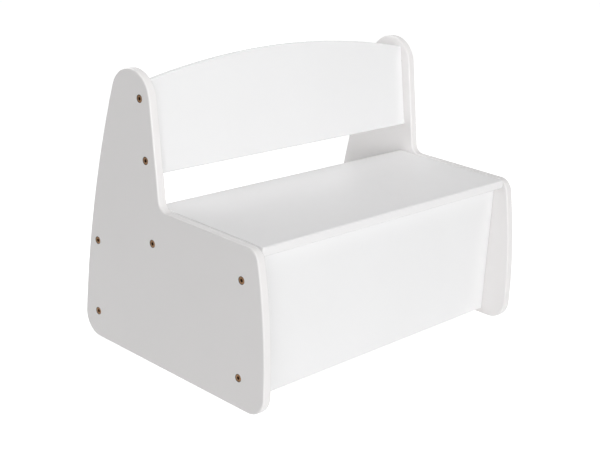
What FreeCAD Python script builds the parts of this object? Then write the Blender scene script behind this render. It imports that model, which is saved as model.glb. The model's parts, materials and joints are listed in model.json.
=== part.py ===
import FreeCAD, Part
import math
import os
import re
import Sketcher

# Child's storage bench: two shaped side panels carry a front panel, a rear panel,
# a hinge rail, a leaning backrest and a bottom, and a flat seat lid opens on two hinges.
# Frame: X along the width, Y from front to rear, Z up, origin on the floor at the
# middle of the footprint. All sizes are millimetres.

SIZES = {
    # whole bench and its boards
    "overall_width": 600,
    "overall_depth": 426,
    "panel_thickness": 15,
    "easing_radius": 2.5,
    # outline of a side panel, from its front and from the floor
    "seat_height": 256,
    "corner_reach": 238.6,
    "upright_lean": 8.8,
    "inner_corner_radius": 17,
    "top_round_radius": 46.4,
    "rear_sweep_radius": 1652,
    "rear_sweep_drop": 66.6,
    "rear_foot_radius": 35.5,
    "front_foot_radius": 33,
    "front_sweep_radius": 967,
    "arm_tip_radius": 23,
    # storage box
    "floor_gap": 10,
    "front_panel_setback": 47.5,
    "rear_panel_setback": 384.9,
    "rear_panel_top": 192,
    "rail_setback": 247.5,
    "rail_height": 76.6,
    "hinge_gap": 2.6,
    "bottom_level": 20,
    "bottom_thickness": 5,
    "groove_depth": 7,
    "groove_play": 0.1,
    "bottom_edge_play": 1,
    # seat lid
    "lid_front": 29.8,
    "lid_rear": 265.2,
    "lid_side_gap": 1,
    # backrest
    "back_lean": 9.2,
    "back_bottom_height": 305.4,
    "back_bottom_setback": 261.7,
    "back_peak": 169.4,
    "back_arch_radius": 1420,
    # connecting screws and dowels
    "screw_length": 50,
    "screw_sink_diameter": 12.6,
    "screw_head_diameter": 12,
    "screw_collar_diameter": 7,
    "screw_thread_diameter": 6.4,
    "screw_tip": 3,
    "socket_width": 4,
    "socket_depth": 3.5,
    "dowel_diameter": 8,
    "dowel_length": 30,
    "dowel_chamfer": 1,
    "dowel_in_side": 10,
    # hinges
    "hinge_length": 50,
    "hinge_spread": 180,
    "hinge_axis_setback": 268.2,
    "leaf_thickness": 1.2,
    "leaf_play": 0.2,
    "leaf_front": 248.5,
    "barrel_diameter": 5.5,
    "pin_diameter": 2.6,
    "pin_play": 0.05,
    "pin_head_diameter": 4.4,
    "pin_head_thickness": 0.8,
    "knuckle_count": 5,
    "knuckle_play": 0.3,
    "knuckle_relief": 0.4,
    "hinge_screw_length": 12,
    "hinge_screw_diameter": 3,
    "hinge_screw_head": 5.2,
    "hinge_screw_reach": 34,
    "hinge_screw_setback": 256,
    # bumpers under the lid
    "bumper_diameter": 8,
    "bumper_clearance": 0.1,
    "bumper_spread": 480,
}

# Screw centres on a side panel: distance behind its front, height above the floor.
FRONT_SCREWS = [(55, 49.3), (55, 202.5)]
REAR_SCREWS = [(392.4, 44.7), (392.4, 166.8)]
RAIL_SCREWS = [(255, 200.1)]
BACK_SCREWS = [(272.7, 326.4), (287.4, 417.8)]
RAIL_DOWEL_OFFSET = 24

doc = FreeCAD.newDocument("storage_bench")
sheet = doc.addObject("Spreadsheet::Sheet", "sheet")
for row, (alias, number) in enumerate(SIZES.items(), start=1):
    sheet.set("A%d" % row, alias)
    sheet.set("B%d" % row, str(number))
    sheet.setAlias("B%d" % row, alias)
doc.recompute()

SPARE_CELL = "D1"
SUB_PARTS = []


def size(alias):
    """Number held by one cell of the sheet."""
    return float(sheet.get(alias))


def cells(text):
    """Expression text with each alias of the sheet turned into its cell."""
    return re.sub(r"[a-z_]{2,}", lambda word: ("sheet." if word[0] in SIZES else "") + word[0], text)


def vector(x, y, z=0.0):
    return FreeCAD.Vector(x, y, z)


def new_body(label, base=("0", "0", "0"), keep=True):
    """Empty body with its own label, placed by expressions."""
    body = doc.addObject("PartDesign::Body", label)
    body.Label = label
    for axis, text in zip("xyz", base):
        body.setExpression("Placement.Base." + axis, cells(text))
    if keep:
        SUB_PARTS.append(body)
    return body


def new_sketch(body, role, name, lift="0"):
    """Sketch on one of the body's own origin planes, lifted along its normal."""
    sketch = body.newObject("Sketcher::SketchObject", name)
    plane = [item for item in body.Origin.OriginFeatures if item.Role == role][0]
    sketch.AttachmentSupport = [(plane, "")]
    sketch.MapMode = "FlatFace"
    sketch.setExpression("AttachmentOffset.Base.z", cells(lift))
    return sketch


def bind(sketch, constraint, name, text):
    """Add a named constraint whose value follows the sheet."""
    index = sketch.addConstraint(constraint)
    sketch.renameConstraint(index, name)
    sketch.setExpression("Constraints." + name, cells(text))


def number_of(text):
    """Value of an expression of aliases, for the first shape of a sketch."""
    sheet.set(SPARE_CELL, "=" + re.sub(r"[a-z_]{2,}", lambda word: str(SIZES[word[0]]), text))
    sheet.recompute()
    return float(sheet.get(SPARE_CELL))


def rectangle(sketch, x, y, width, height):
    """Rectangle from its lower left corner, bound to expressions."""
    left, low = number_of(x), number_of(y)
    right, high = left + number_of(width), low + number_of(height)
    corners = [vector(left, low), vector(right, low), vector(right, high), vector(left, high)]
    first = sketch.GeometryCount
    for side in range(4):
        line = Part.LineSegment(corners[side], corners[(side + 1) % 4])
        sketch.addGeometry(line, False)
    for side in range(4):
        other = first + (side + 1) % 4
        sketch.addConstraint(Sketcher.Constraint("Coincident", first + side, 2, other, 1))
    for side in (0, 2):
        sketch.addConstraint(Sketcher.Constraint("Horizontal", first + side))
        sketch.addConstraint(Sketcher.Constraint("Vertical", first + side + 1))
    tag = str(first)
    bind(sketch, Sketcher.Constraint("DistanceX", -1, 1, first, 1, left), "x" + tag, x)
    bind(sketch, Sketcher.Constraint("DistanceY", -1, 1, first, 1, low), "y" + tag, y)
    run, rise = right - left, high - low
    bind(sketch, Sketcher.Constraint("DistanceX", first, 1, first, 2, run), "w" + tag, width)
    across = Sketcher.Constraint("DistanceY", first + 1, 1, first + 1, 2, rise)
    bind(sketch, across, "h" + tag, height)


def circle(sketch, x, y, diameter):
    """Circle with its centre and diameter bound to expressions."""
    centre = vector(number_of(x), number_of(y))
    radius = number_of(diameter) / 2
    index = sketch.addGeometry(Part.Circle(centre, vector(0, 0, 1), radius), False)
    tag = str(index)
    bind(sketch, Sketcher.Constraint("DistanceX", -1, 1, index, 3, centre.x), "x" + tag, x)
    bind(sketch, Sketcher.Constraint("DistanceY", -1, 1, index, 3, centre.y), "y" + tag, y)
    bind(sketch, Sketcher.Constraint("Diameter", index, 2 * radius), "d" + tag, diameter)


def pad(body, sketch, name, length, flipped=False):
    """Extrude a sketch along its normal, or against it."""
    feature = body.newObject("PartDesign::Pad", name)
    feature.Profile = sketch
    feature.Reversed = flipped
    feature.setExpression("Length", cells(length))
    doc.recompute()
    return feature


def pocket(body, sketch, name, length, along_normal=False):
    """Cut a sketch into the body and make sure that it removed material."""
    before = body.Shape.Volume
    feature = body.newObject("PartDesign::Pocket", name)
    feature.Profile = sketch
    feature.Reversed = along_normal
    feature.setExpression("Length", cells(length))
    doc.recompute()
    if body.Shape.Volume > before - 0.1:
        raise RuntimeError(name + " cuts nothing from " + body.Label)
    return feature


def dress(body, kind, name, amount, wanted):
    """Fillet or chamfer the wanted edges of the body's last feature."""
    base = body.Tip
    names = ["Edge%d" % index for index, edge in enumerate(base.Shape.Edges, start=1)
             if wanted(edge)]
    feature = body.newObject("PartDesign::" + kind, name)
    feature.Base = (base, names)
    feature.setExpression("Radius" if kind == "Fillet" else "Size", cells(amount))
    doc.recompute()
    if "Invalid" in feature.State or not names:
        raise RuntimeError(name + " fails on " + body.Label)


def ease(body, name, wanted=lambda edge: True):
    """Round the wanted edges as a board's edges are eased."""
    dress(body, "Fillet", name, "easing_radius", wanted)


def countersink(body, name, amount, diameter, axis, level):
    """Chamfer the mouths of the round holes of one diameter at one level."""

    def is_mouth(edge):
        if not isinstance(edge.Curve, Part.Circle):
            return False
        right_size = abs(2 * edge.Curve.Radius - diameter) < 0.01
        return right_size and abs(edge.Curve.Center[axis] - level) < 0.01

    dress(body, "Chamfer", name, amount, is_mouth)


# --- side panels -------------------------------------------------------------


def point_at(centre, towards, distance):
    """Point at a distance from a centre, in the direction of another point."""
    ray = towards - centre
    return centre + ray * (distance / ray.Length)


def arc(sketch, centre, radius, start, end):
    """Counter-clockwise arc between the directions of two points."""
    low = math.atan2(start.y - centre.y, start.x - centre.x)
    high = math.atan2(end.y - centre.y, end.x - centre.x)
    if high < low:
        high += 2 * math.pi
    whole = Part.Circle(centre, vector(0, 0, 1), radius)
    return sketch.addGeometry(Part.ArcOfCircle(whole, low, high), False)


def side_outline(sketch):
    """Closed outline of a side panel: seat edge, upright, sweeps and rounded corners."""
    lean = math.radians(size("upright_lean"))
    seat, depth = size("seat_height"), size("overall_depth")
    inner, top = size("inner_corner_radius"), size("top_round_radius")
    rear, rear_foot = size("rear_sweep_radius"), size("rear_foot_radius")
    front, front_foot = size("front_sweep_radius"), size("front_foot_radius")
    tip = size("arm_tip_radius")
    corner = vector(size("corner_reach"), seat)
    along = vector(math.sin(lean), math.cos(lean))
    behind = vector(along.y, -along.x)

    # Centres of the arcs, each from the arcs and lines that it touches.
    rear_foot_centre = vector(depth - rear_foot, rear_foot)
    fall = size("rear_sweep_drop")
    reach = math.sqrt((rear - rear_foot) ** 2 - (rear_foot + fall) ** 2)
    rear_centre = rear_foot_centre - vector(reach, rear_foot + fall)
    start = corner + behind * top - rear_centre
    slope = start.dot(along)
    climb = -slope + math.sqrt(slope ** 2 - start.dot(start) + (rear - top) ** 2)
    top_centre = corner + behind * top + along * climb
    inner_run = inner * math.tan((math.pi / 2 - lean) / 2)
    inner_centre = corner + along * inner_run - behind * inner
    front_centre = vector(front, front_foot)
    front_foot_centre = vector(front_foot, front_foot)
    rise = seat - tip - front_foot
    tip_centre = vector(front - math.sqrt((front - tip) ** 2 - rise ** 2), seat - tip)

    # Points where neighbours touch, starting at the rear of the bottom edge.
    touch = [
        vector(rear_foot_centre.x, 0),
        point_at(rear_centre, rear_foot_centre, rear),
        point_at(rear_centre, top_centre, rear),
        top_centre - behind * top,
        corner + along * inner_run,
        vector(inner_centre.x, seat),
        vector(tip_centre.x, seat),
        point_at(front_centre, tip_centre, front),
        vector(0, front_foot),
        vector(front_foot, 0),
    ]
    bottom_line = sketch.addGeometry(Part.LineSegment(touch[9], touch[0]), False)
    rear_foot_arc = arc(sketch, rear_foot_centre, rear_foot, touch[0], touch[1])
    rear_arc = arc(sketch, rear_centre, rear, touch[1], touch[2])
    top_arc = arc(sketch, top_centre, top, touch[2], touch[3])
    upright = sketch.addGeometry(Part.LineSegment(touch[3], touch[4]), False)
    inner_arc = arc(sketch, inner_centre, inner, touch[5], touch[4])
    seat_line = sketch.addGeometry(Part.LineSegment(touch[5], touch[6]), False)
    tip_arc = arc(sketch, tip_centre, tip, touch[6], touch[7])
    front_arc = arc(sketch, front_centre, front, touch[7], touch[8])
    front_foot_arc = arc(sketch, front_foot_centre, front_foot, touch[8], touch[9])

    joins = [
        (bottom_line, 2, rear_foot_arc, 1), (rear_foot_arc, 2, rear_arc, 1),
        (rear_arc, 2, top_arc, 1), (top_arc, 2, upright, 1),
        (upright, 2, inner_arc, 2), (inner_arc, 1, seat_line, 1),
        (seat_line, 2, tip_arc, 1), (tip_arc, 2, front_arc, 1),
        (front_arc, 2, front_foot_arc, 1), (front_foot_arc, 2, bottom_line, 1),
    ]
    for join in joins:
        sketch.addConstraint(Sketcher.Constraint("Tangent", *join))
    for line in (bottom_line, seat_line):
        sketch.addConstraint(Sketcher.Constraint("Horizontal", line))
    sketch.addConstraint(Sketcher.Constraint("PointOnObject", bottom_line, 1, -1))
    radii = {
        "rear_foot_radius": rear_foot_arc, "rear_sweep_radius": rear_arc,
        "top_round_radius": top_arc, "inner_corner_radius": inner_arc,
        "arm_tip_radius": tip_arc, "front_sweep_radius": front_arc,
        "front_foot_radius": front_foot_arc,
    }
    for alias, curve in radii.items():
        bind(sketch, Sketcher.Constraint("Radius", curve, size(alias)), alias, alias)
    meeting = sketch.addGeometry(Part.Point(corner), True)
    for line in (seat_line, upright):
        sketch.addConstraint(Sketcher.Constraint("PointOnObject", meeting, 1, line))
    places = [
        ("DistanceY", meeting, 1, seat, "seat_height"),
        ("DistanceX", meeting, 1, corner.x, "corner_reach"),
        ("DistanceX", front_arc, 3, front, "front_sweep_radius"),
        ("DistanceX", rear_foot_arc, 3, depth - rear_foot, "overall_depth - rear_foot_radius"),
        ("DistanceY", rear_arc, 3, -fall, "0 - rear_sweep_drop"),
    ]
    for number, (kind, item, spot, value, text) in enumerate(places):
        constraint = Sketcher.Constraint(kind, -1, 1, item, spot, value)
        bind(sketch, constraint, "place%d" % number, text)
    angle = Sketcher.Constraint("Angle", upright, math.radians(size("upright_lean") - 90))
    bind(sketch, angle, "lean", "0 - 90 - upright_lean")


def along_back(count):
    """Points spaced evenly between the two backrest screws of a side panel."""
    (low_y, low_z), (high_y, high_z) = BACK_SCREWS
    steps = [(index + 1) / (count + 1) for index in range(count)]
    return [(low_y + (high_y - low_y) * step, low_z + (high_z - low_z) * step)
            for step in steps]


def between(pair, count):
    """Points spaced evenly between two screws that stand above each other."""
    (y, low), (_, high) = pair
    return [(y, low + (high - low) * (index + 1) / (count + 1)) for index in range(count)]


FRONT_DOWELS = between(FRONT_SCREWS, 2)
REAR_DOWELS = between(REAR_SCREWS, 2)
RAIL_DOWELS = [(RAIL_SCREWS[0][0], RAIL_SCREWS[0][1] + side * RAIL_DOWEL_OFFSET)
               for side in (-1, 1)]
BACK_DOWELS = along_back(1)
ALL_SCREWS = FRONT_SCREWS + REAR_SCREWS + RAIL_SCREWS + BACK_SCREWS
ALL_DOWELS = FRONT_DOWELS + REAR_DOWELS + RAIL_DOWELS + BACK_DOWELS


def side_panel(label, is_left):
    """One shaped side panel, drilled for its screws and dowels and grooved for the bottom."""
    edge = "0 - overall_width / 2" if is_left else "overall_width / 2 - panel_thickness"
    body = new_body(label, (edge, "0 - overall_depth / 2", "0"))
    outline = new_sketch(body, "YZ_Plane", label + "_outline")
    side_outline(outline)
    pad(body, outline, label + "_board", "panel_thickness")
    faces = (0, size("panel_thickness"))

    def on_a_face(edge):
        box = edge.BoundBox
        return box.XLength < 0.01 and min(abs(box.XMin - face) for face in faces) < 0.01

    ease(body, label + "_easing", on_a_face)
    outer, inner = ("0", "panel_thickness") if is_left else ("panel_thickness", "0")

    groove = new_sketch(body, "YZ_Plane", label + "_groove_sketch", inner)
    start = "front_panel_setback + panel_thickness - groove_depth"
    run = "rear_panel_setback - front_panel_setback - panel_thickness + 2 * groove_depth"
    rectangle(groove, start, "bottom_level - groove_play", run,
              "bottom_thickness + 2 * groove_play")
    pocket(body, groove, label + "_groove", "groove_depth", not is_left)

    holes = new_sketch(body, "YZ_Plane", label + "_screw_holes", outer)
    for y, z in ALL_SCREWS:
        circle(holes, str(y), str(z), "screw_collar_diameter")
    pocket(body, holes, label + "_drilling", "panel_thickness", is_left)
    countersink(body, label + "_countersinks",
                "(screw_sink_diameter - screw_collar_diameter) / 2",
                size("screw_collar_diameter"), 0, faces[0] if is_left else faces[1])

    sockets = new_sketch(body, "YZ_Plane", label + "_dowel_holes", inner)
    for y, z in ALL_DOWELS:
        circle(sockets, str(y), str(z), "dowel_diameter")
    pocket(body, sockets, label + "_dowel_drilling", "dowel_in_side", not is_left)
    return body


# --- straight boards ---------------------------------------------------------

INNER_WIDTH = "(overall_width - 2 * panel_thickness)"
HEAD_INSET = "(screw_sink_diameter - screw_head_diameter) / 2"


def drill_ends(body, screws, dowels):
    """Drill both ends of a board for screws and dowels, given as (y, z) on the board."""
    drills = [
        ("screw", screws, "screw_thread_diameter",
         "screw_length + " + HEAD_INSET + " - panel_thickness"),
        ("dowel", dowels, "dowel_diameter", "dowel_length - dowel_in_side"),
    ]
    for kind, centres, diameter, depth in drills:
        for end, lift in (("left", "0"), ("right", INNER_WIDTH)):
            name = "_".join((body.Label, end, kind))
            sketch = new_sketch(body, "YZ_Plane", name + "_marks", lift)
            for y, z in centres:
                circle(sketch, y, z, diameter)
            pocket(body, sketch, name + "_holes", depth, end == "left")


def board(label, base, width, depth, height):
    """Flat board with eased edges; its own origin is its lower front left corner."""
    body = new_body(label, base)
    sketch = new_sketch(body, "XY_Plane", label + "_plan")
    rectangle(sketch, "0", "0", width, depth)
    pad(body, sketch, label + "_board", height)
    ease(body, label + "_easing")
    return body


def square_board(label, setback, level, height):
    """Upright board between the side panels; its own origin is its lower left front corner."""
    base = ("0 - " + INNER_WIDTH + " / 2", setback + " - overall_depth / 2", level)
    body = new_body(label, base)
    sketch = new_sketch(body, "XY_Plane", label + "_plan")
    rectangle(sketch, "0", "0", INNER_WIDTH, "panel_thickness")
    pad(body, sketch, label + "_board", height)
    ease(body, label + "_easing")
    return body


def marks_on(points, setback, level):
    """Screw or dowel centres of the bench as expressions on a board."""
    return [("%r - (%s)" % (y, setback), "%r - (%s)" % (z, level)) for y, z in points]


def groove_for_bottom(body, on_rear_face):
    """Groove along the inner face of the front or rear panel."""
    lift = "0 - panel_thickness" if on_rear_face else "0"
    sketch = new_sketch(body, "XZ_Plane", body.Label + "_groove_sketch", lift)
    rectangle(sketch, "0", "bottom_level - floor_gap - groove_play", INNER_WIDTH,
              "bottom_thickness + 2 * groove_play")
    pocket(body, sketch, body.Label + "_groove", "groove_depth", on_rear_face)


def front_panel():
    """Front of the storage box, under the overhang of the lid."""
    top = "seat_height - panel_thickness - hinge_gap"
    setback = "front_panel_setback"
    body = square_board("front_panel", setback, "floor_gap", top + " - floor_gap")
    groove_for_bottom(body, True)
    drill_ends(body, marks_on(FRONT_SCREWS, setback, "floor_gap"),
               marks_on(FRONT_DOWELS, setback, "floor_gap"))


def rear_panel():
    """Back of the storage box, lower than its front."""
    setback = "rear_panel_setback"
    body = square_board("rear_panel", setback, "floor_gap", "rear_panel_top - floor_gap")
    groove_for_bottom(body, False)
    drill_ends(body, marks_on(REAR_SCREWS, setback, "floor_gap"),
               marks_on(REAR_DOWELS, setback, "floor_gap"))


def hinge_rail():
    """Narrow rail under the rear of the lid, which carries the hinges."""
    level = "seat_height - panel_thickness - hinge_gap - rail_height"
    setback = "rail_setback"
    body = square_board("hinge_rail", setback, level, "rail_height")
    drill_ends(body, marks_on(RAIL_SCREWS, setback, level),
               marks_on(RAIL_DOWELS, setback, level))
    marks = new_sketch(body, "XY_Plane", "hinge_rail_top_marks", "rail_height")
    for x in hinge_screw_places():
        circle(marks, x + " + " + INNER_WIDTH + " / 2",
               "hinge_screw_setback - rail_setback", "hinge_screw_diameter")
    pocket(body, marks, "hinge_rail_pilot_holes", "hinge_screw_length - leaf_thickness")


def seat_lid():
    """Seat board that closes the storage box."""
    width = INNER_WIDTH + " - 2 * lid_side_gap"
    base = ("0 - (" + width + ") / 2", "lid_front - overall_depth / 2",
            "seat_height - panel_thickness")
    body = board("seat_lid", base, width, "lid_rear - lid_front", "panel_thickness")
    marks = new_sketch(body, "XY_Plane", "seat_lid_marks")
    for x in hinge_screw_places():
        circle(marks, x + " + (" + width + ") / 2", "hinge_screw_setback - lid_front",
               "hinge_screw_diameter")
    pocket(body, marks, "seat_lid_pilot_holes", "hinge_screw_length - leaf_thickness", True)


def bottom_panel():
    """Thin bottom, held in grooves on all four sides."""
    width = INNER_WIDTH + " + 2 * groove_depth - 2 * bottom_edge_play"
    depth = ("rear_panel_setback - front_panel_setback - panel_thickness"
             " + 2 * groove_depth - 2 * bottom_edge_play")
    setback = "front_panel_setback + panel_thickness - groove_depth + bottom_edge_play"
    base = ("0 - (" + width + ") / 2", setback + " - overall_depth / 2", "bottom_level")
    body = new_body("bottom_panel", base)
    sketch = new_sketch(body, "XY_Plane", "bottom_panel_plan")
    rectangle(sketch, "0", "0", width, depth)
    pad(body, sketch, "bottom_panel_sheet", "bottom_thickness")


def backrest_panel():
    """Leaning backrest with a level bottom edge and an arched top edge."""
    base = ("0 - " + INNER_WIDTH + " / 2", "back_bottom_setback - overall_depth / 2",
            "back_bottom_height")
    body = new_body("backrest_panel", base)
    lean = FreeCAD.Rotation(vector(-1, 0, 0), size("back_lean"))
    body.Placement = FreeCAD.Placement(body.Placement.Base, lean)
    sketch = new_sketch(body, "XZ_Plane", "backrest_panel_outline")
    width, peak = number_of(INNER_WIDTH), size("back_peak")
    radius = size("back_arch_radius")
    shoulder = peak - radius + math.sqrt(radius ** 2 - width ** 2 / 4)
    left, right = vector(0, shoulder), vector(width, shoulder)
    centre = vector(width / 2, peak - radius)
    base_line = sketch.addGeometry(Part.LineSegment(vector(0, 0), vector(width, 0)), False)
    right_line = sketch.addGeometry(Part.LineSegment(vector(width, 0), right), False)
    arch = arc(sketch, centre, radius, right, left)
    left_line = sketch.addGeometry(Part.LineSegment(left, vector(0, 0)), False)
    for join in ((base_line, 2, right_line, 1), (right_line, 2, arch, 1),
                 (arch, 2, left_line, 1), (left_line, 2, base_line, 1),
                 (base_line, 1, -1, 1)):
        sketch.addConstraint(Sketcher.Constraint("Coincident", *join))
    sketch.addConstraint(Sketcher.Constraint("Horizontal", base_line))
    sketch.addConstraint(Sketcher.Constraint("Vertical", right_line))
    sketch.addConstraint(Sketcher.Constraint("Vertical", left_line))
    bind(sketch, Sketcher.Constraint("DistanceX", base_line, 1, base_line, 2, width),
         "width", INNER_WIDTH)
    bind(sketch, Sketcher.Constraint("Radius", arch, radius), "radius", "back_arch_radius")
    bind(sketch, Sketcher.Constraint("DistanceY", -1, 1, arch, 3, peak - radius),
         "arch_centre", "back_peak - back_arch_radius")
    pad(body, sketch, "backrest_panel_board", "panel_thickness", True)
    ease(body, "backrest_panel_easing")
    turn = math.radians(size("back_lean"))
    foot_y, foot_z = size("back_bottom_setback"), size("back_bottom_height")

    def on_board(points):
        marks = []
        for y, z in points:
            behind, above = y - foot_y, z - foot_z
            across = behind * math.cos(turn) - above * math.sin(turn)
            upward = behind * math.sin(turn) + above * math.cos(turn)
            marks.append(("%r" % across, "%r" % upward))
        return marks

    drill_ends(body, on_board(BACK_SCREWS), on_board(BACK_DOWELS))


# --- connecting screws and dowels --------------------------------------------


def turned(label, stations, axis_name, keep=False):
    """Solid of revolution about its own X axis from (place, radius) stations."""
    body = new_body(label, keep=keep)
    sketch = new_sketch(body, "XY_Plane", label + "_profile")
    values = [(number_of(x), number_of(radius)) for x, radius in stations]
    count = len(values)
    for index in range(count):
        start, end = values[index], values[(index + 1) % count]
        sketch.addGeometry(Part.LineSegment(vector(*start), vector(*end)), False)
    for index in range(count):
        other = (index + 1) % count
        sketch.addConstraint(Sketcher.Constraint("Coincident", index, 2, other, 1))
    for index, (x, radius) in enumerate(stations):
        place, height = values[index]
        if x == "0":
            sketch.addConstraint(Sketcher.Constraint("PointOnObject", index, 1, -2))
        else:
            constraint = Sketcher.Constraint("DistanceX", -1, 1, index, 1, place)
            bind(sketch, constraint, "along%d" % index, x)
        if radius == "0":
            sketch.addConstraint(Sketcher.Constraint("PointOnObject", index, 1, -1))
        else:
            constraint = Sketcher.Constraint("DistanceY", -1, 1, index, 1, height)
            bind(sketch, constraint, "radius%d" % index, radius)
    feature = body.newObject("PartDesign::Revolution", axis_name)
    feature.Profile = sketch
    feature.ReferenceAxis = (sketch, ["H_Axis"])
    feature.Angle = 360
    doc.recompute()
    return body


def hex_socket(body, name, width, depth):
    """Six-sided socket in the head at the body's origin."""
    sketch = new_sketch(body, "YZ_Plane", name + "_outline")
    radius = number_of(width) / math.sqrt(3)
    spots = [vector(radius * math.cos(math.radians(60 * step)),
                    radius * math.sin(math.radians(60 * step))) for step in range(6)]
    for step in range(6):
        line = Part.LineSegment(spots[step], spots[(step + 1) % 6])
        sketch.addGeometry(line, False)
    guide = sketch.addGeometry(Part.Circle(vector(0, 0), vector(0, 0, 1), radius), True)
    sketch.addConstraint(Sketcher.Constraint("Coincident", guide, 3, -1, 1))
    for step in range(6):
        other = (step + 1) % 6
        sketch.addConstraint(Sketcher.Constraint("Coincident", step, 2, other, 1))
        sketch.addConstraint(Sketcher.Constraint("PointOnObject", step, 1, guide))
        if step:
            sketch.addConstraint(Sketcher.Constraint("Equal", 0, step))
    sketch.addConstraint(Sketcher.Constraint("PointOnObject", 0, 1, -1))
    bind(sketch, Sketcher.Constraint("Diameter", guide, 2 * radius), "across_corners",
         width + " * 2 / sqrt(3)")
    pocket(body, sketch, name, depth, True)


def group(label, master, placements):
    """Separate solids of one kind in one sub-part, as links to a single master."""
    links = []
    for index, placement in enumerate(placements):
        link = doc.addObject("App::Link", "%s_%d" % (label, index + 1))
        link.LinkedObject = master
        link.Placement = placement
        links.append(link)
    compound = doc.addObject("Part::Compound", label)
    compound.Label = label
    compound.Links = links
    doc.recompute()
    SUB_PARTS.append(compound)


def facing_in(points, inset):
    """Placements on both side panels, each with its X axis pointing into the bench."""
    half, depth = size("overall_width") / 2, size("overall_depth")
    placements = []
    for side, angle in ((-1, 0), (1, 180)):
        for y, z in points:
            base = vector(side * (half - inset), y - depth / 2, z)
            turn = FreeCAD.Rotation(vector(0, 0, 1), angle)
            placements.append(FreeCAD.Placement(base, turn))
    return placements


def fasteners():
    """Countersunk hex socket screws and wooden dowels at the ends of every board."""
    head = "screw_head_diameter / 2"
    collar = "screw_collar_diameter / 2"
    thread = "screw_thread_diameter / 2"
    screw = turned("connecting_screw", [
        ("0", "0"), ("0", head),
        ("(screw_head_diameter - screw_collar_diameter) / 2", collar),
        ("panel_thickness - " + HEAD_INSET, collar),
        ("panel_thickness - " + HEAD_INSET, thread),
        ("screw_length - screw_tip", thread),
        ("screw_length", "screw_thread_diameter / 4"), ("screw_length", "0"),
    ], "screw_turning")
    hex_socket(screw, "screw_socket", "socket_width", "socket_depth")
    pin = "dowel_diameter / 2"
    slim = "dowel_diameter / 2 - dowel_chamfer"
    dowel = turned("wooden_dowel", [
        ("0", "0"), ("0", slim), ("dowel_chamfer", pin),
        ("dowel_length - dowel_chamfer", pin), ("dowel_length", slim), ("dowel_length", "0"),
    ], "dowel_turning")
    dowel_inset = size("panel_thickness") - size("dowel_in_side")
    sets = {
        "front_panel": (FRONT_SCREWS, FRONT_DOWELS),
        "rear_panel": (REAR_SCREWS, REAR_DOWELS),
        "hinge_rail": (RAIL_SCREWS, RAIL_DOWELS),
        "backrest": (BACK_SCREWS, BACK_DOWELS),
    }
    for name, (screws, dowels) in sets.items():
        group(name + "_screws", screw, facing_in(screws, number_of(HEAD_INSET)))
        group(name + "_dowels", dowel, facing_in(dowels, dowel_inset))


# --- hinges and bumpers ------------------------------------------------------


def hinge_screw_places():
    """X of the hinge screws, as expressions from the middle of the bench."""
    places = []
    for side in ("0 - ", ""):
        for end in ("-", "+"):
            places.append("%shinge_spread %s hinge_screw_reach / 2" % (side, end))
    return places


SCREW_SINK = "(hinge_screw_head - hinge_screw_diameter) / 2"


def hinge_leaf(label, centre, on_lid):
    """One leaf of a hinge with its knuckles; local origin on the pin's axis."""
    body = new_body(label, (centre + " - hinge_length / 2",
                            "hinge_axis_setback - overall_depth / 2",
                            "seat_height - panel_thickness - hinge_gap / 2"))
    plate = new_sketch(body, "XY_Plane", label + "_plate_plan",
                       "leaf_play / 2" if on_lid else "0 - leaf_play / 2")
    rectangle(plate, "0", "leaf_front - hinge_axis_setback", "hinge_length",
              "hinge_axis_setback - leaf_front - barrel_diameter / 4")
    pad(body, plate, label + "_plate", "leaf_thickness", not on_lid)
    barrel = new_sketch(body, "YZ_Plane", label + "_barrel_end")
    circle(barrel, "0", "0", "barrel_diameter")
    pad(body, barrel, label + "_barrel", "hinge_length")
    bore = new_sketch(body, "YZ_Plane", label + "_bore_end")
    circle(bore, "0", "0", "pin_diameter + 2 * pin_play")
    pocket(body, bore, label + "_bore", "hinge_length", True)
    knuckle = "hinge_length / knuckle_count"
    clear = "(barrel_diameter / 2 + knuckle_relief)"
    gaps = new_sketch(body, "XY_Plane", label + "_knuckle_gaps", "0 - " + clear)
    first = 0 if on_lid else 1
    for index in range(first, int(size("knuckle_count")), 2):
        rectangle(gaps, "%d * %s - knuckle_play / 2" % (index, knuckle), "0 - " + clear,
                  knuckle + " + knuckle_play", "2 * " + clear)
    pocket(body, gaps, label + "_knuckles", "2 * " + clear, True)
    holes = new_sketch(body, "XY_Plane", label + "_holes_plan")
    for end in ("-", "+"):
        circle(holes, "hinge_length / 2 %s hinge_screw_reach / 2" % end,
               "hinge_screw_setback - hinge_axis_setback", "hinge_screw_diameter")
    pocket(body, holes, label + "_holes", "leaf_thickness + leaf_play", on_lid)
    inner_level = (1 if on_lid else -1) * size("leaf_play") / 2
    countersink(body, label + "_countersinks", SCREW_SINK, size("hinge_screw_diameter"),
                2, inner_level)


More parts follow.
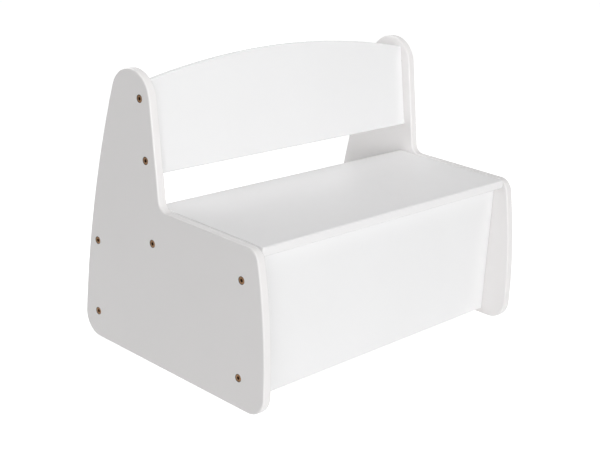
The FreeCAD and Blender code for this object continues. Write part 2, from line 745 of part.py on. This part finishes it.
def hinges():
    """Two butt hinges between the rail and the lid, with their pins and screws."""
    head = "pin_head_diameter / 2"
    thick = "pin_head_thickness"
    pin = turned("hinge_pin", [
        ("0 - " + thick, "0"), ("0 - " + thick, head), ("0", head),
        ("0", "pin_diameter / 2"), ("hinge_length", "pin_diameter / 2"),
        ("hinge_length", head), ("hinge_length + " + thick, head),
        ("hinge_length + " + thick, "0"),
    ], "pin_turning")
    shank = "hinge_screw_diameter / 2"
    screw = turned("hinge_screw", [
        ("0", "0"), ("0", "hinge_screw_head / 2"), (SCREW_SINK, shank),
        ("hinge_screw_length - hinge_screw_diameter / 2", shank), ("hinge_screw_length", "0"),
    ], "hinge_screw_turning")
    hex_socket(screw, "hinge_screw_drive", "socket_width / 2", "leaf_thickness / 2")
    half_depth = size("overall_depth") / 2
    axis_level = number_of("seat_height - panel_thickness - hinge_gap / 2")
    play = size("leaf_play") / 2
    setback = size("hinge_screw_setback") - half_depth
    level_turn = FreeCAD.Rotation()
    for side, sign in (("left", -1), ("right", 1)):
        centre = "%d * hinge_spread" % sign
        hinge_leaf(side + "_hinge_rail_leaf", centre, False)
        hinge_leaf(side + "_hinge_lid_leaf", centre, True)
        start = number_of(centre + " - hinge_length / 2")
        base = vector(start, size("hinge_axis_setback") - half_depth, axis_level)
        group(side + "_hinge_pin", pin, [FreeCAD.Placement(base, level_turn)])
    for label, sign in (("hinge_rail_leaf_screws", -1), ("hinge_lid_leaf_screws", 1)):
        turn = FreeCAD.Rotation(vector(0, 1, 0), -90 * sign)
        places = []
        for text in hinge_screw_places():
            spot = vector(number_of(text), setback, axis_level + sign * play)
            places.append(FreeCAD.Placement(spot, turn))
        group(label, screw, places)


def lid_bumpers():
    """Two soft bumpers on the top edge of the front panel."""
    bumper = turned("bumper", [
        ("0", "0"), ("0", "bumper_diameter / 2"),
        ("hinge_gap / 2", "bumper_diameter / 2"),
        ("hinge_gap - bumper_clearance", "bumper_diameter / 3"),
        ("hinge_gap - bumper_clearance", "0"),
    ], "bumper_turning")
    upward = FreeCAD.Rotation(vector(0, 1, 0), -90)
    level = number_of("seat_height - panel_thickness - hinge_gap")
    middle = number_of("front_panel_setback + panel_thickness / 2 - overall_depth / 2")
    spots = [vector(side * size("bumper_spread") / 2, middle, level) for side in (-1, 1)]
    group("lid_bumpers", bumper, [FreeCAD.Placement(spot, upward) for spot in spots])


# --- the bench ---------------------------------------------------------------

side_panel("left_side_panel", True)
side_panel("right_side_panel", False)
front_panel()
rear_panel()
hinge_rail()
bottom_panel()
seat_lid()
backrest_panel()
fasteners()
hinges()
lid_bumpers()
doc.recompute()

for item in doc.Objects:
    if "Invalid" in item.State or "Error" in item.State:
        raise RuntimeError("failed object: " + item.Label)
for part in SUB_PARTS:
    if part.Shape.isNull() or not part.Shape.isValid():
        raise RuntimeError("bad shape: " + part.Label)

os.makedirs("parts", exist_ok=True)
for part in SUB_PARTS:
    part.Shape.exportStep("parts/%s.step" % part.Label)
    box = part.Shape.optimalBoundingBox()
    print("%-26s %2d solids  %9.0f mm3  x %.1f..%.1f  y %.1f..%.1f  z %.1f..%.1f" % (
        part.Label, len(part.Shape.Solids), part.Shape.Volume,
        box.XMin, box.XMax, box.YMin, box.YMax, box.ZMin, box.ZMax))
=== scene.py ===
import json
import math
import bmesh
import bpy
from mathutils import Matrix, Vector


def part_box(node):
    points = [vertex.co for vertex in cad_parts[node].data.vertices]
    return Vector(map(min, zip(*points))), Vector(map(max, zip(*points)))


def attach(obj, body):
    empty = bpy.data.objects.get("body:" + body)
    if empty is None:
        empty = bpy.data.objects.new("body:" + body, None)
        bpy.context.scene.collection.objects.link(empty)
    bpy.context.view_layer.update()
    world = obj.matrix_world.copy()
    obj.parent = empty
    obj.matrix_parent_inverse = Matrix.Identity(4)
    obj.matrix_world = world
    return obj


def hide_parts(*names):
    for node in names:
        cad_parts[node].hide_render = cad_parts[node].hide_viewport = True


# Child's storage bench in white lacquered fibreboard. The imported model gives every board,
# screw and hinge; this script gives them their finishes, makes the screws with their rolled
# threads and hex sockets, and stands the bench in a pale studio.

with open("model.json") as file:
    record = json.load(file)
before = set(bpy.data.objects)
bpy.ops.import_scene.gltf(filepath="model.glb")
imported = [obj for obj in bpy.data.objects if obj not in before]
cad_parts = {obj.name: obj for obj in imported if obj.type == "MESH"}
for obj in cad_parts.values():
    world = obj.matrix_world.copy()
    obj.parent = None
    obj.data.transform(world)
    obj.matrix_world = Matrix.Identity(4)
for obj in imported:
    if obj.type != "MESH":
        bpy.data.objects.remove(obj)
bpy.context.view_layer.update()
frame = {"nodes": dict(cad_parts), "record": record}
scene = bpy.context.scene
scene.view_settings.view_transform = "Standard"


# --- camera ------------------------------------------------------------------

CAMERA_PLACE = Vector((-1.4009, -1.3440, 0.8377))
CAMERA_AZIMUTH = math.radians(-49.486)
CAMERA_ELEVATION = math.radians(20.445)
CAMERA_ROLL = math.radians(4.239)
CAMERA_LENS = 73.17
CAMERA_SHIFT = (-0.1239, 0.0693)
SENSOR_WIDTH = 36.0


def make_camera():
    data = bpy.data.cameras.new("camera")
    data.lens = CAMERA_LENS
    data.sensor_width = SENSOR_WIDTH
    data.shift_x, data.shift_y = CAMERA_SHIFT
    data.dof.use_dof = False
    camera = bpy.data.objects.new("camera", data)
    scene.collection.objects.link(camera)
    camera.matrix_world = (Matrix.Translation(CAMERA_PLACE)
                           @ Matrix.Rotation(CAMERA_AZIMUTH, 4, "Z")
                           @ Matrix.Rotation(math.pi / 2 - CAMERA_ELEVATION, 4, "X")
                           @ Matrix.Rotation(CAMERA_ROLL, 4, "Z"))
    scene.camera = camera


# --- material building blocks ------------------------------------------------

# Most of a noise texture lies between these two values.
NOISE_LOW, NOISE_HIGH = 0.3, 0.7
# Cosine between a face's normal and an axis: below the first the face counts as an edge,
# above the second as square to the axis, and eased edges fade between them.
EDGE_COSINE, FLAT_COSINE = 0.55, 0.97
# Sockets of a colour Mix node, which share their names with its number sockets.
MIX_FIRST, MIX_SECOND, MIX_RESULT = 6, 7, 2


class Surface:
    """A node material around one Principled shader, read in the object's own metres."""

    def __init__(self, name, color, roughness, metallic=0.0):
        self.material = bpy.data.materials.new(name)
        self.material.use_nodes = True
        self.tree = self.material.node_tree
        self.shader = self.tree.nodes["Principled BSDF"]
        self.set("Base Color", (*color, 1.0))
        self.set("Roughness", roughness)
        self.set("Metallic", metallic)
        coordinates = self.node("TexCoord")
        self.place = coordinates.outputs["Object"]
        self.normal = coordinates.outputs["Normal"]

    def set(self, socket, value):
        self.shader.inputs[socket].default_value = value

    def link(self, source, target):
        self.tree.links.new(source, target)

    def node(self, kind, **settings):
        made = self.tree.nodes.new("ShaderNode" + kind)
        for key, value in settings.items():
            setattr(made, key, value)
        return made

    def stretched(self, scale):
        """Object coordinates scaled by a different amount along each axis."""
        mapping = self.node("Mapping")
        mapping.inputs["Scale"].default_value = scale
        self.link(self.place, mapping.inputs["Vector"])
        return mapping.outputs["Vector"]

    def noise(self, scale, detail=3.0, place=None):
        """Noise with about this many waves in a metre, and finer waves on them by detail."""
        made = self.node("TexNoise")
        made.inputs["Scale"].default_value = scale
        made.inputs["Detail"].default_value = detail
        self.link(place or self.place, made.inputs["Vector"])
        return made.outputs["Fac"]

    def remap(self, source, low, high, start=NOISE_LOW, end=NOISE_HIGH):
        """Stretch the span from start to end so that it runs from low to high."""
        made = self.node("MapRange")
        for socket, value in (("From Min", start), ("From Max", end),
                              ("To Min", low), ("To Max", high)):
            made.inputs[socket].default_value = value
        self.link(source, made.inputs["Value"])
        return made.outputs["Result"]

    def math(self, operation, first, second):
        made = self.node("Math", operation=operation)
        for value, socket in zip((first, second), made.inputs):
            if isinstance(value, (int, float)):
                socket.default_value = value
            else:
                self.link(value, socket)
        return made.outputs["Value"]

    def blend(self, factor, first, second):
        """Colour between two colours or sockets, by a factor socket."""
        made = self.node("Mix", data_type="RGBA")
        self.link(factor, made.inputs["Factor"])
        for value, socket in ((first, made.inputs[MIX_FIRST]), (second, made.inputs[MIX_SECOND])):
            if isinstance(value, tuple):
                socket.default_value = (*value, 1.0)
            else:
                self.link(value, socket)
        return made.outputs[MIX_RESULT]

    def off_axis(self, axis):
        """0 on faces square to the axis, 1 on the faces and eased edges round them."""
        along = self.node("VectorMath", operation="DOT_PRODUCT")
        self.link(self.normal, along.inputs[0])
        along.inputs[1].default_value = axis
        size = self.math("ABSOLUTE", along.outputs["Value"], 0.0)
        return self.remap(size, 1.0, 0.0, EDGE_COSINE, FLAT_COSINE)

    def paint(self, color):
        self.link(color, self.shader.inputs["Base Color"])

    def roughen(self, value):
        self.link(value, self.shader.inputs["Roughness"])

    def relief(self, layers):
        """Chain bump layers, each (height socket, strength, distance in metres)."""
        normal = None
        for height, strength, distance in layers:
            bump = self.node("Bump")
            bump.inputs["Strength"].default_value = strength
            bump.inputs["Distance"].default_value = distance
            self.link(height, bump.inputs["Height"])
            if normal:
                self.link(normal, bump.inputs["Normal"])
            normal = bump.outputs["Normal"]
        self.link(normal, self.shader.inputs["Normal"])


# --- places of the connecting screws -----------------------------------------

SCREW_NODES = ("front_panel_screws", "rear_panel_screws", "hinge_rail_screws", "backrest_screws")
HEAD_RADIUS = 0.0060


def screw_places(node):
    """Where one node's screws stand in a side panel: one or two points on a line in YZ."""
    low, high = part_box(node)
    lower = Vector((0.0, low.y + HEAD_RADIUS, low.z + HEAD_RADIUS))
    upper = Vector((0.0, high.y - HEAD_RADIUS, high.z - HEAD_RADIUS))
    return [lower, upper] if (upper - lower).length > HEAD_RADIUS else [lower]


# --- finishes ----------------------------------------------------------------

# Colours are linear. Glosses are the shader's roughness. LACQUER_SHADE darkens the lacquer's clouds.
# The screw plating is darkened on its rim, cone and socket walls: partly oxidised plating, partly
# painted shade of the recess round each head.
LACQUER_GLOSS = 0.24
LACQUER_UNEVEN = 0.012
LACQUER_SHADE = 0.985
EDGE_DULLING = 0.02
# The side boards' white is a little darker and warmer than the other boards': painted shade and painted
# warm light for the dimmer, warmer light on the bench's sides.
SIDE_WHITE_WITH_PAINTED_WARM_SHADE = (0.890, 0.874, 0.870)
PANEL_WHITE = (0.900, 0.900, 0.903)
SEAT_WHITE = (0.900, 0.894, 0.897)
# Dark brown for the countersink rings: raw board, darkened further as painted shade of the recess round
# each screw head.
RAW_BOARD_AND_PAINTED_SHADE = (0.07, 0.043, 0.025)
RAW_DULLING = 0.5
# The lacquer begins between these distances from the rim of a screw head.
RAW_RIM, LACQUER_RIM = 0.0002, 0.0004

PAINTED_LIGHT, PAINTED_DARK = (0.80, 0.79, 0.76), (0.77, 0.76, 0.73)
PAINTED_GLOSS, FIBRE_GLOSS = 0.5, 0.85
FIBRE_LIGHT, FIBRE_DARK = (0.33, 0.21, 0.125), (0.24, 0.145, 0.08)
# Cosine between a face's normal and straight down, where the paint ends and is all gone.
PAINT_END, FIBRE_START = -0.6, -0.4

BRONZE_LIGHT, BRONZE_DARK = (0.34, 0.20, 0.11), (0.21, 0.115, 0.058)
ZINC_LIGHT, ZINC_DARK = (0.66, 0.67, 0.68), (0.58, 0.58, 0.55)
ZINC_SCREW_LIGHT, ZINC_SCREW_DARK = (0.70, 0.70, 0.68), (0.56, 0.56, 0.52)
PLATE_GLOSS = 0.34
ZINC_SCREW_GLOSS = 0.3
GLOSS_BELOW, GLOSS_ABOVE = 0.07, 0.12
# How dark the plating turns away from the flat face: partly oxidised plating, partly painted shade of
# the recess.
ANTIQUE_AND_PAINTED_SHADE = 0.35

BEECH_LIGHT, BEECH_DARK = (0.74, 0.56, 0.38), (0.62, 0.44, 0.28)
BEECH_FLECK = (0.42, 0.27, 0.15)
BEECH_GLOSS, BEECH_GRAIN_GLOSS = 0.55, 0.72
FLECK_START, FLECK_END, FLECK_DEPTH = 0.62, 0.72, 0.6

BUMPER_CLEAR, BUMPER_CLOUDY = (0.88, 0.89, 0.88), (0.80, 0.81, 0.80)
BUMPER_GLOSS, BUMPER_CLOUDY_GLOSS = 0.28, 0.4
BUMPER_TRANSMISSION = 0.45
BUMPER_IOR = 1.46

ACROSS, REARWARD, UP = (1.0, 0.0, 0.0), (0.0, 1.0, 0.0), (0.0, 0.0, 1.0)
DOWN = (0.0, 0.0, -1.0)


def drilled(surface):
    """1 inside the countersunk screw holes, which are drilled through the lacquer, 0 elsewhere."""
    across = surface.stretched((0.0, 1.0, 1.0))
    nearest = None
    for place in [place for node in SCREW_NODES for place in screw_places(node)]:
        away = surface.node("VectorMath", operation="DISTANCE")
        surface.link(across, away.inputs[0])
        away.inputs[1].default_value = place
        distance = away.outputs["Value"]
        nearest = surface.math("MINIMUM", nearest, distance) if nearest else distance
    return surface.remap(nearest, 1.0, 0.0, HEAD_RADIUS + RAW_RIM, HEAD_RADIUS + LACQUER_RIM)


def lacquer(name, color, face_axis, has_holes=False):
    """Sprayed white lacquer on fibreboard: faint orange peel, duller where the cut edges drink it. With
    holes, each countersink ring is dark brown: raw board and painted shade of the recess.
    """
    surface = Surface(name, color, LACQUER_GLOSS)
    edge = surface.off_axis(face_axis)
    shade = tuple(channel * LACQUER_SHADE for channel in color)
    coat = surface.blend(surface.remap(surface.noise(6.0), 0.0, 1.0), color, shade)
    gloss = surface.remap(edge, LACQUER_GLOSS, LACQUER_GLOSS + EDGE_DULLING, 0.0, 1.0)
    if has_holes:
        # The countersink rings are painted dark brown: raw board drilled through the lacquer, and
        # painted shade of the recess.
        raw_ring_and_shade = drilled(surface)
        coat = surface.blend(raw_ring_and_shade, coat, RAW_BOARD_AND_PAINTED_SHADE)
        gloss = surface.math("ADD", gloss, surface.math("MULTIPLY", raw_ring_and_shade, RAW_DULLING))
    surface.paint(coat)
    uneven = surface.remap(surface.noise(55.0), -LACQUER_UNEVEN, LACQUER_UNEVEN)
    surface.roughen(surface.math("ADD", gloss, uneven))
    waves = surface.noise(28.0, 1.0)
    peel = surface.noise(480.0, 2.0)
    fibres = surface.math("MULTIPLY", surface.noise(1500.0, 2.0), edge)
    surface.relief([(waves, 0.4, 0.00003), (peel, 0.3, 0.00001), (fibres, 0.4, 0.00002)])
    return surface.material


def hardboard():
    """Thin board, painted white on top and left in bare brown fibres at its edges and below."""
    surface = Surface("white_faced_hardboard", PAINTED_LIGHT, PAINTED_GLOSS)
    below = surface.node("VectorMath", operation="DOT_PRODUCT")
    surface.link(surface.normal, below.inputs[0])
    below.inputs[1].default_value = DOWN
    bare = surface.remap(below.outputs["Value"], 0.0, 1.0, PAINT_END, FIBRE_START)
    fibre = surface.remap(surface.noise(700.0, 4.0, surface.stretched((1.0, 0.35, 1.0))), 0.0, 1.0)
    brown = surface.blend(fibre, FIBRE_DARK, FIBRE_LIGHT)
    paint = surface.blend(surface.remap(surface.noise(9.0), 0.0, 1.0), PAINTED_LIGHT, PAINTED_DARK)
    surface.paint(surface.blend(bare, paint, brown))
    surface.roughen(surface.remap(bare, PAINTED_GLOSS, FIBRE_GLOSS, 0.0, 1.0))
    surface.relief([(fibre, 0.5, 0.0001), (surface.noise(320.0, 2.0), 0.4, 0.00006)])
    return surface.material


def plated(name, light, dark, gloss, brush_scale, face_axis=None):
    """Plated steel: cloudy plating over fine drawn lines.

    With a face axis, the plating is darker everywhere but on the face square to it: partly oxidised
    plating, partly painted shade where the head sits in its countersink.
    """
    surface = Surface(name, light, gloss, 1.0)
    cloud = surface.remap(surface.noise(260.0, 4.0), 0.0, 1.0)
    metal = surface.blend(cloud, light, dark)
    if face_axis:
        # Darker plating off the flat face: partly oxidised plating, partly painted shade of the
        # countersink recess.
        antique_and_shade = tuple(channel * ANTIQUE_AND_PAINTED_SHADE for channel in dark)
        metal = surface.blend(surface.off_axis(face_axis), metal, antique_and_shade)
    surface.paint(metal)
    lines = surface.noise(1.0, 4.0, surface.stretched(brush_scale))
    surface.roughen(surface.remap(lines, gloss - GLOSS_BELOW, gloss + GLOSS_ABOVE))
    surface.relief([(lines, 0.5, 0.00002), (surface.noise(900.0, 2.0), 0.3, 0.00002)])
    return surface.material


def beech():
    """Bare beech with its grain along the dowel and short dark flecks."""
    surface = Surface("bare_beech", BEECH_LIGHT, BEECH_GLOSS)
    grain = surface.remap(surface.noise(1.0, 5.0, surface.stretched((30.0, 900.0, 900.0))), 0.0, 1.0)
    wood = surface.blend(grain, BEECH_LIGHT, BEECH_DARK)
    flecks = surface.remap(surface.noise(1.0, 2.0, surface.stretched((300.0, 2500.0, 900.0))),
                           0.0, FLECK_DEPTH, FLECK_START, FLECK_END)
    surface.paint(surface.blend(flecks, wood, BEECH_FLECK))
    surface.roughen(surface.remap(grain, BEECH_GLOSS, BEECH_GRAIN_GLOSS, 0.0, 1.0))
    surface.relief([(grain, 0.6, 0.00008)])
    return surface.material


def soft_plastic():
    """Clear soft bumper, slightly cloudy inside."""
    surface = Surface("clear_soft_plastic", BUMPER_CLEAR, BUMPER_GLOSS)
    cloud = surface.remap(surface.noise(500.0, 3.0), 0.0, 1.0)
    surface.paint(surface.blend(cloud, BUMPER_CLEAR, BUMPER_CLOUDY))
    surface.set("Transmission Weight", BUMPER_TRANSMISSION)
    surface.set("IOR", BUMPER_IOR)
    surface.roughen(surface.remap(cloud, BUMPER_GLOSS, BUMPER_CLOUDY_GLOSS, 0.0, 1.0))
    surface.relief([(surface.noise(1200.0, 2.0), 0.3, 0.00003)])
    return surface.material


FINISHES = {
    # The side boards carry painted warm shade in their white.
    "side_lacquer": lacquer("side_lacquer", SIDE_WHITE_WITH_PAINTED_WARM_SHADE, ACROSS, has_holes=True),
    "panel_lacquer": lacquer("panel_lacquer", PANEL_WHITE, REARWARD),
    "seat_lacquer": lacquer("seat_lacquer", SEAT_WHITE, UP),
    "bottom_board": hardboard(),
    "bronze_screw": plated("bronze_plating", BRONZE_LIGHT, BRONZE_DARK, PLATE_GLOSS,
                           (900.0, 900.0, 900.0), ACROSS),
    "hinge_steel": plated("zinc_plate", ZINC_LIGHT, ZINC_DARK, PLATE_GLOSS,
                          (25.0, 2500.0, 2500.0)),
    "zinc_screw": plated("zinc_screw", ZINC_SCREW_LIGHT, ZINC_SCREW_DARK, ZINC_SCREW_GLOSS,
                         (1500.0, 1500.0, 1500.0)),
    "dowel_beech": beech(),
    "soft_bumper": soft_plastic(),
}


def finish_nodes():
    """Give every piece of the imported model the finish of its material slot."""
    for part in frame["record"]["subparts"]:
        piece = frame["nodes"][part["node"]]
        piece.data.materials.clear()
        piece.data.materials.append(FINISHES[part["material_slot"]])


# --- connecting screws -------------------------------------------------------

SCREW_SIDES = 36
COLLAR_RADIUS = 0.0035
COLLAR_END = 0.0147
THREAD_RADIUS = 0.0032
ROOT_RADIUS = 0.0023
PITCH = 0.0030
PITCH_RINGS = 6
SCREW_LENGTH = 0.050
TIP_LENGTH = 0.003
SOCKET_RADIUS = 0.0025
SOCKET_DEPTH = 0.0035
SOCKET_POINT = 0.0005
SHARP_ANGLE = math.radians(32)

# The hex socket from its floor to its eased mouth: depth, and reach as a share of its radius.
SOCKET_PROFILE = ((SOCKET_DEPTH, 0.88), (SOCKET_DEPTH - 0.0002, 1.0), (0.0003, 1.0), (0.0, 1.1))
# Then the flat face, the eased rim, the cone and the collar: depth and radius.
HEAD_PROFILE = ((0.0, 0.0034), (0.0, 0.0046), (0.00004, 0.0050), (0.0003, 0.0056),
                (0.0005, HEAD_RADIUS - 0.0005), (HEAD_RADIUS - COLLAR_RADIUS, COLLAR_RADIUS),
                (COLLAR_END - 0.0004, COLLAR_RADIUS), (COLLAR_END, ROOT_RADIUS))

ANGLES = [2 * math.pi * side / SCREW_SIDES for side in range(SCREW_SIDES)]


def hexagon(angle):
    """How far a hexagon of half width 1 reaches in this direction."""
    return 1 / math.cos((angle + math.pi / 6) % (math.pi / 3) - math.pi / 6)


def head_rings():
    """Hex socket from its floor to its mouth, then the flat face, the cone and the collar."""
    for depth, reach in SOCKET_PROFILE:
        yield depth, [SOCKET_RADIUS * reach * hexagon(angle) for angle in ANGLES]
    for depth, radius in HEAD_PROFILE:
        yield depth, [radius] * SCREW_SIDES


def thread_rings():
    """Wide rolled thread, which runs out into the collar and into the pointed tip."""
    count = int((SCREW_LENGTH - COLLAR_END) / PITCH * PITCH_RINGS)
    for ring in range(1, count):
        depth = COLLAR_END + ring * PITCH / PITCH_RINGS
        run_in = min(1.0, (depth - COLLAR_END) / PITCH)
        run_out = min(1.0, (SCREW_LENGTH - depth) / TIP_LENGTH)
        radii = []
        for angle in ANGLES:
            crest = (0.5 + 0.5 * math.cos(2 * math.pi * depth / PITCH - angle)) ** 2
            height = (THREAD_RADIUS - ROOT_RADIUS) * crest * run_in
            radii.append((ROOT_RADIUS + height) * run_out)
        yield depth, radii


def add_screw(mesh, head, inward):
    """One screw in the mesh: its head's centre, and +1 or -1 for the way it points along X."""
    def point(depth, radius, angle):
        return head + Vector((inward * depth, radius * math.cos(angle), radius * math.sin(angle)))

    rings = [*head_rings(), *thread_rings()]
    corners = [[mesh.verts.new(point(depth, radius, angle)) for radius, angle in zip(radii, ANGLES)]
               for depth, radii in rings]
    socket_floor = mesh.verts.new(point(SOCKET_DEPTH + SOCKET_POINT, 0.0, 0.0))
    tip = mesh.verts.new(point(SCREW_LENGTH, 0.0, 0.0))
    for side in range(SCREW_SIDES):
        following = (side + 1) % SCREW_SIDES
        mesh.faces.new((socket_floor, corners[0][side], corners[0][following]))
        mesh.faces.new((tip, corners[-1][following], corners[-1][side]))
        for near, far in zip(corners, corners[1:]):
            mesh.faces.new((near[side], far[side], far[following], near[following]))


def make_screws(node):
    """The detailed screws of one node: one or two in each side panel."""
    low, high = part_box(node)
    mesh = bmesh.new()
    for place in screw_places(node):
        add_screw(mesh, Vector((low.x, place.y, place.z)), 1)
        add_screw(mesh, Vector((high.x, place.y, place.z)), -1)
    bmesh.ops.recalc_face_normals(mesh, faces=mesh.faces)
    data = bpy.data.meshes.new(node + "_threaded")
    mesh.to_mesh(data)
    mesh.free()
    data.shade_smooth()
    data.set_sharp_from_angle(angle=SHARP_ANGLE)
    data.materials.append(FINISHES["bronze_screw"])
    piece = bpy.data.objects.new(node + "_threaded", data)
    scene.collection.objects.link(piece)
    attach(piece, "frame")
    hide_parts(node)


make_camera()
finish_nodes()
for screw_node in SCREW_NODES:
    make_screws(screw_node)


# --- studio ------------------------------------------------------------------

WHITE = (1.0, 1.0, 1.0, 1.0)
# Glow of the studio's soft walls, by their turn in degrees from the front towards the right.
WALL_GLOW = {0: 3.7, 90: 1.5, 135: 1.1, 315: 3.4}
WALL_RISE = math.radians(5)
WALL_FOCUS = 12.0
BACKDROP_GLOW = 1.0
FLOOR_RADIUS = 14.0
FLOOR_SIDES = 96
FLOOR_ROUGHNESS = 0.7
FLOOR_GREY = 0.5
FLOOR_GLOW = 0.86
BOUNCE_GREY = 0.5
BOUNCE_GLOW = 0.34
BOUNCE_DROP = 0.0005
# Each soft lamp: its place, the point it faces, its width and height in metres, its watts.
LAMPS = {
    "top": ((0.0, 0.0, 3.0), (0.0, 0.0, 0.2), (2.5, 2.5), 37.8),
    "left": ((-1.3, -1.2, 0.4), (-0.2, 0.0, 0.2), (0.8, 0.8), 2.8),
    "rear": ((-0.2, 0.75, 0.8), (0.25, 0.1, 0.3), (0.5, 0.5), 3.4),
}


def area_light(name, place, target, size, power):
    data = bpy.data.lights.new(name, "AREA")
    data.shape = "RECTANGLE"
    data.size, data.size_y = size
    data.energy = power
    light = bpy.data.objects.new(name, data)
    scene.collection.objects.link(light)
    light.location = place
    light.visible_camera = False
    light.rotation_euler = (Vector(target) - Vector(place)).to_track_quat("-Z", "Y").to_euler()


def make_walls():
    """Soft walls that glow, each at its turn from the front, and look plain white to the camera."""
    world = bpy.data.worlds.new("studio")
    scene.world = world
    world.use_nodes = True
    tree = world.node_tree
    direction = tree.nodes.new("ShaderNodeTexCoord").outputs["Generated"]
    total = None
    for turn, glow in WALL_GLOW.items():
        around = math.radians(turn)
        level = math.cos(WALL_RISE)
        toward = tree.nodes.new("ShaderNodeVectorMath")
        toward.operation = "DOT_PRODUCT"
        toward.inputs[1].default_value = (math.sin(around) * level, -math.cos(around) * level,
                                          math.sin(WALL_RISE))
        tree.links.new(direction, toward.inputs[0])
        value = toward.outputs["Value"]
        for operation, number in (("MAXIMUM", 0.0), ("POWER", WALL_FOCUS), ("MULTIPLY", glow)):
            step = tree.nodes.new("ShaderNodeMath")
            step.operation = operation
            step.inputs[1].default_value = number
            tree.links.new(value, step.inputs[0])
            value = step.outputs["Value"]
        if total:
            step = tree.nodes.new("ShaderNodeMath")
            tree.links.new(total, step.inputs[0])
            tree.links.new(value, step.inputs[1])
            value = step.outputs["Value"]
        total = value
    background = tree.nodes["Background"]
    background.inputs["Color"].default_value = WHITE
    seen = tree.nodes.new("ShaderNodeMix")
    tree.links.new(tree.nodes.new("ShaderNodeLightPath").outputs["Is Camera Ray"], seen.inputs["Factor"])
    tree.links.new(total, seen.inputs["A"])
    seen.inputs["B"].default_value = BACKDROP_GLOW
    tree.links.new(seen.outputs["Result"], background.inputs["Strength"])


def floor_disc(name, grey, glow):
    """A wide round floor for the studio, kept apart from the bench."""
    mesh = bmesh.new()
    bmesh.ops.create_circle(mesh, cap_ends=True, segments=FLOOR_SIDES, radius=FLOOR_RADIUS)
    data = bpy.data.meshes.new(name)
    mesh.to_mesh(data)
    mesh.free()
    ground = Surface(name, (grey, grey, grey), FLOOR_ROUGHNESS)
    ground.set("Emission Color", WHITE)
    ground.set("Emission Strength", glow)
    data.materials.append(ground.material)
    disc = bpy.data.objects.new(name, data)
    scene.collection.objects.link(disc)
    return disc


def make_floor():
    """A floor as pale as a light table to look at, which throws less light up at the bench."""
    table = floor_disc("studio_floor", FLOOR_GREY, FLOOR_GLOW)
    table.visible_diffuse = False
    bounce = floor_disc("studio_floor_bounce", BOUNCE_GREY, BOUNCE_GLOW)
    bounce.visible_camera = False
    bounce.location.z = -BOUNCE_DROP


make_walls()
make_floor()
for lamp, settings in LAMPS.items():
    area_light(lamp, *settings)
